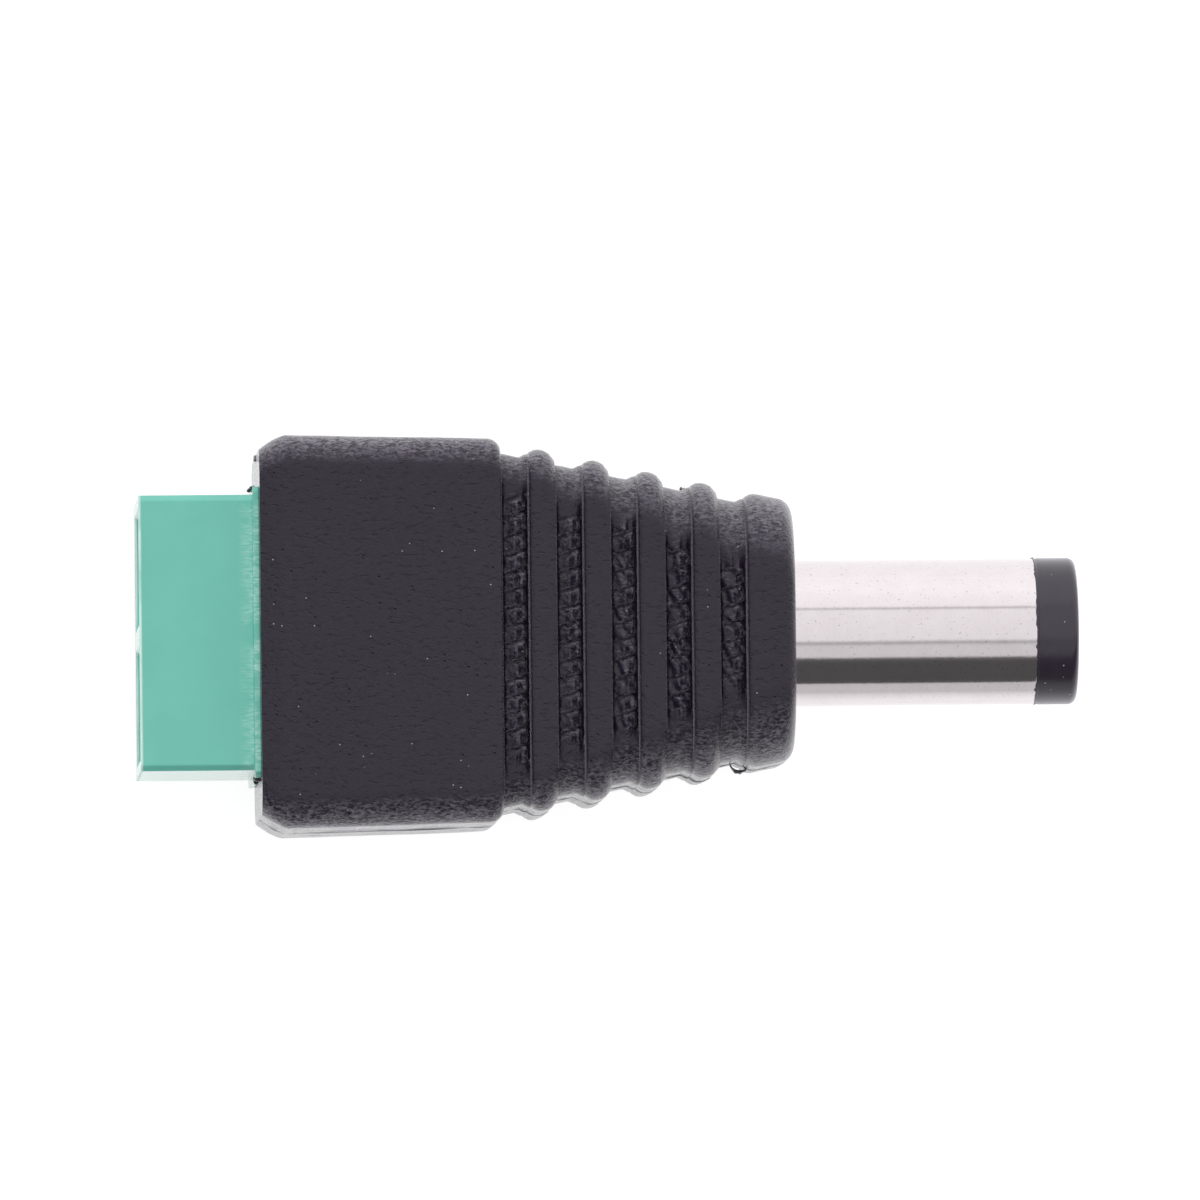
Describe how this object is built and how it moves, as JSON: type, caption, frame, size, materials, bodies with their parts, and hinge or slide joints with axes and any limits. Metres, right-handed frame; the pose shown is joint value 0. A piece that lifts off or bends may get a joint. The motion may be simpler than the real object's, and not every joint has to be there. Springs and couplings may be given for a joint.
{
  "type": "dc barrel plug",
  "caption": "Straight low-voltage DC plug with a 5.5 by 2.1 mm barrel, a ribbed moulded housing and a green screw terminal for two wires.",
  "frame": {"origin": "on the barrel's axis, in the plane of the shoulder where the barrel leaves the housing", "axes": "+X along the barrel towards its tip, +Y across the two poles towards the positive one, +Z away from the screw side, which the plug lies on"},
  "size_m": [0.0353, 0.0148, 0.0118],
  "materials": {
    "black_pvc": "matte",
    "green_nylon": "satin",
    "natural_pe": "satin",
    "black_pbt": "satin",
    "nickel": "satin",
    "zinc_steel": "satin",
    "tinned_brass": "satin",
    "brass": "satin",
    "fibre": "matte",
    "solder": "satin"
  },
  "bodies": {
    "plug": {"housing": "black_pvc", "terminal_block": "green_nylon", "contact_strip_pos": "tinned_brass", "contact_strip_neg": "tinned_brass", "inner_mould": "natural_pe", "barrel_sleeve": "nickel", "barrel_insulator": "black_pbt", "centre_contact": "nickel", "insulating_washer": "fibre", "sleeve_lug": "brass", "centre_lug": "brass", "solder_pos": "solder", "solder_neg": "solder"},
    "screw_pos": {"screw_pos": "zinc_steel"},
    "screw_neg": {"screw_neg": "zinc_steel"},
    "cage_pos": {"cage_pos": "zinc_steel"},
    "cage_neg": {"cage_neg": "zinc_steel"}
  },
  "joints": [
    {"name": "screw_pos_turn", "type": "hinge", "parent": "plug", "child": "screw_pos", "pos_m": [-0.0222, 0.00254, -0.0048], "axis": [0, 0, 1], "range_deg": [0, 1600]},
    {"name": "screw_neg_turn", "type": "hinge", "parent": "plug", "child": "screw_neg", "pos_m": [-0.0222, -0.00254, -0.0048], "axis": [0, 0, 1], "range_deg": [0, 1600]},
    {"name": "cage_pos_rise", "type": "slide", "parent": "plug", "child": "cage_pos", "axis": [0, 0, -1], "range_m": [0, 0.002]},
    {"name": "cage_neg_rise", "type": "slide", "parent": "plug", "child": "cage_neg", "axis": [0, 0, -1], "range_m": [0, 0.002]}
  ],
  "couplings": [
    {"joint": "screw_pos_turn", "follows": "cage_pos_rise", "rad_per_m": 13962},
    {"joint": "screw_neg_turn", "follows": "cage_neg_rise", "rad_per_m": 13962}
  ]
}
